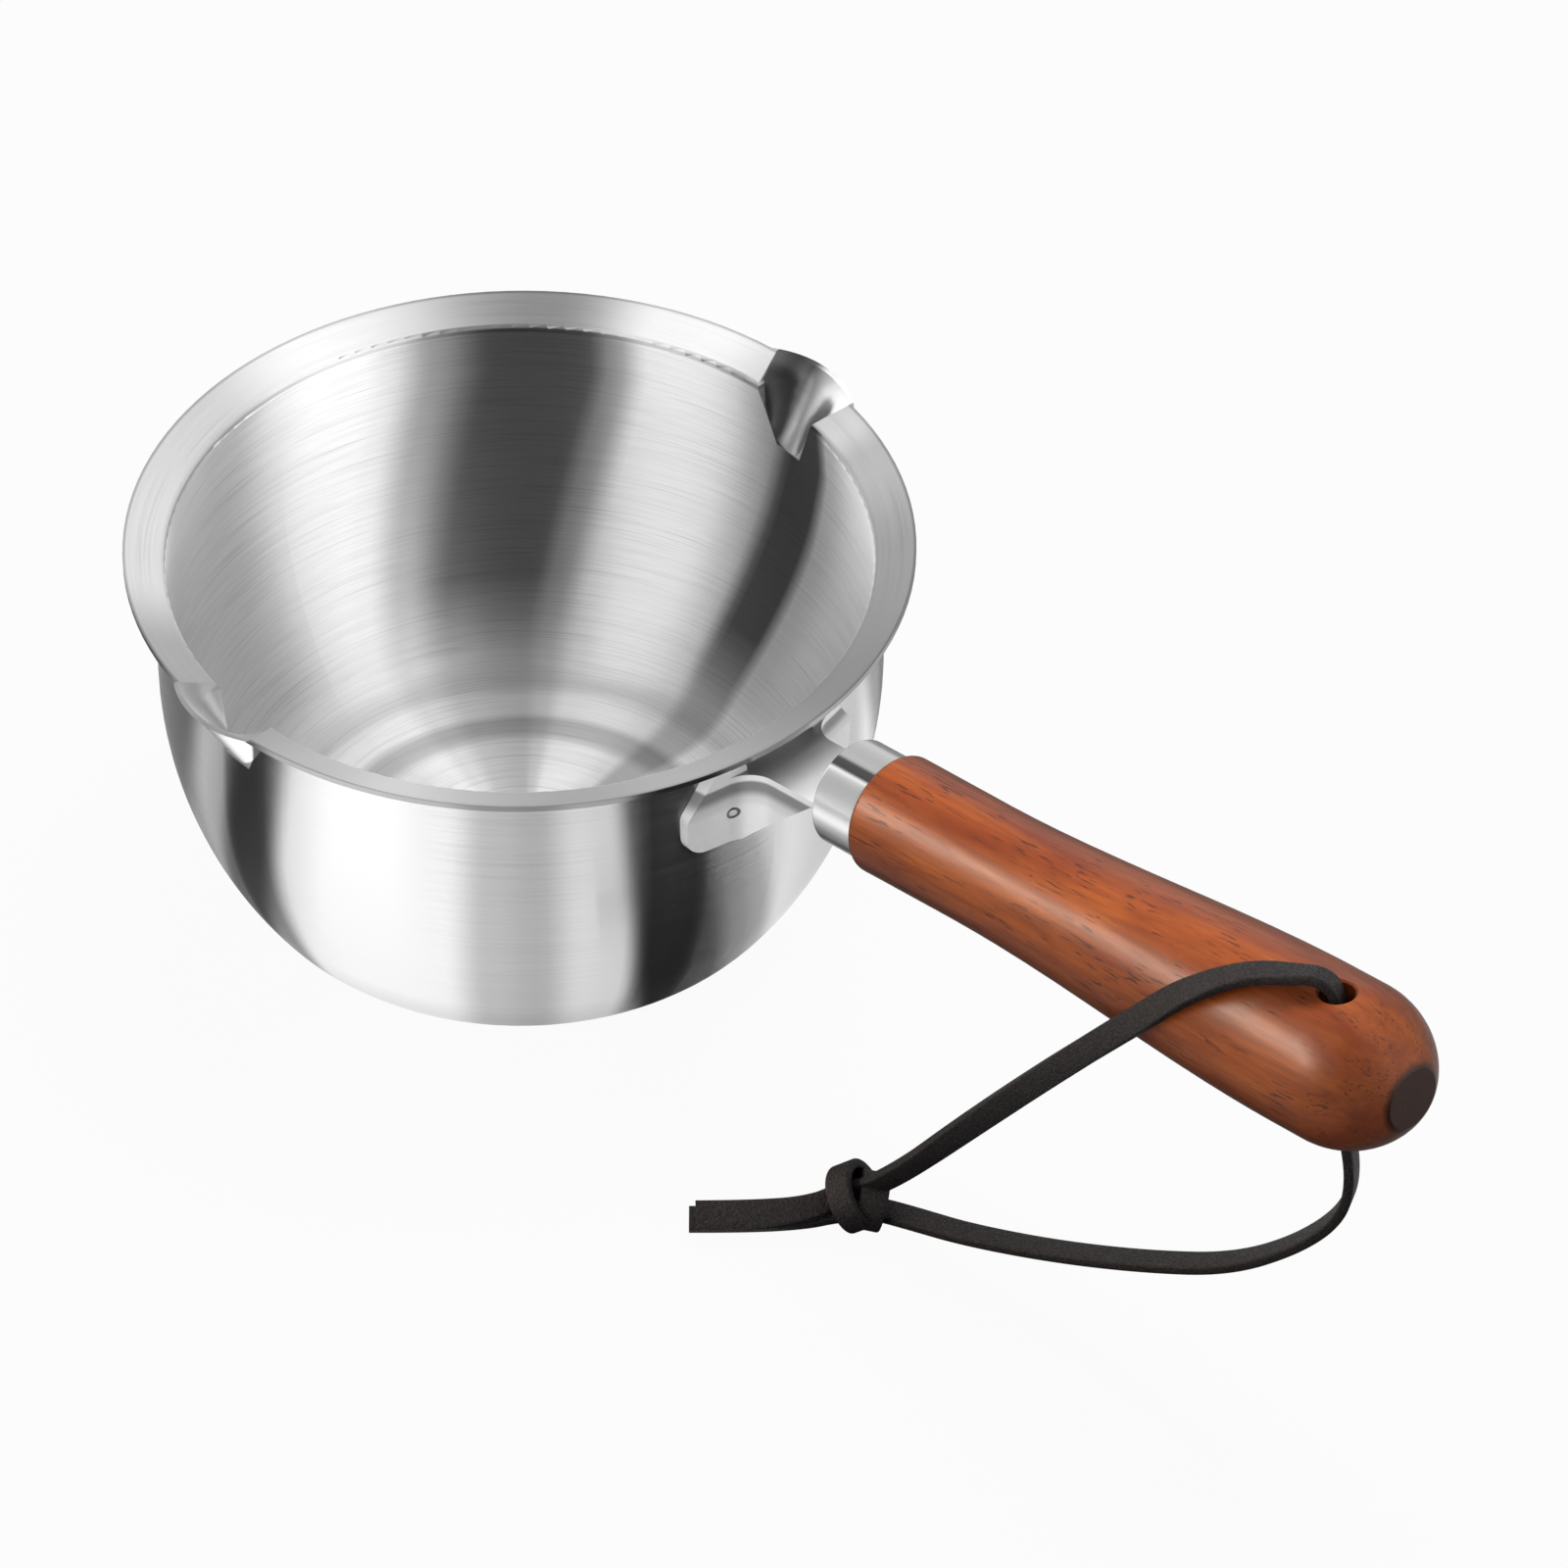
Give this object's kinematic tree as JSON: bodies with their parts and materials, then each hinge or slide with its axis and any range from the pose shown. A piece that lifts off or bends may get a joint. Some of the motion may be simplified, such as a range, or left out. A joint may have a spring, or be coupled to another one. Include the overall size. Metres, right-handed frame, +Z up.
{
  "type": "milk pan",
  "caption": "Small steel milk pan with a flared rim, side pouring spouts, a sloped wooden handle and a knotted leather hanging lace.",
  "frame": {"origin": "centre of the pan's flat underside", "axes": "+Z up out of the open pan, +X from the pan out along the handle, which rises 7.5 degrees; the spouts face +Y and -Y, turned back from them by 3 degrees"},
  "size_m": [0.2834, 0.1456, 0.1031],
  "materials": {
    "pan_steel": "polished outside, brushed round inside, satin rim",
    "bracket_steel": "satin, with pressed weld marks",
    "ferrule_steel": "polished",
    "handle_wood": "satin lacquer on reddish brown wood with short dark pores",
    "lace_leather": "matt dark leather"
  },
  "bodies": {
    "pan": {"pan_shell": "pan_steel", "handle_bracket": "bracket_steel", "ferrule": "ferrule_steel", "handle_grip": "handle_wood"},
    "hang_loop": {"lace_upper": "lace_leather", "lace_lower": "lace_leather", "lace_tail_over": "lace_leather", "lace_tail_under": "lace_leather", "lace_knot": "lace_leather"}
  },
  "joints": [
    {"name": "loop_swing", "type": "hinge", "parent": "pan", "child": "hang_loop", "pos_m": [0.19686, 0, 0.0847], "axis": [-0.1305, 0, 0.9914], "range_deg": [0, 250]}
  ]
}
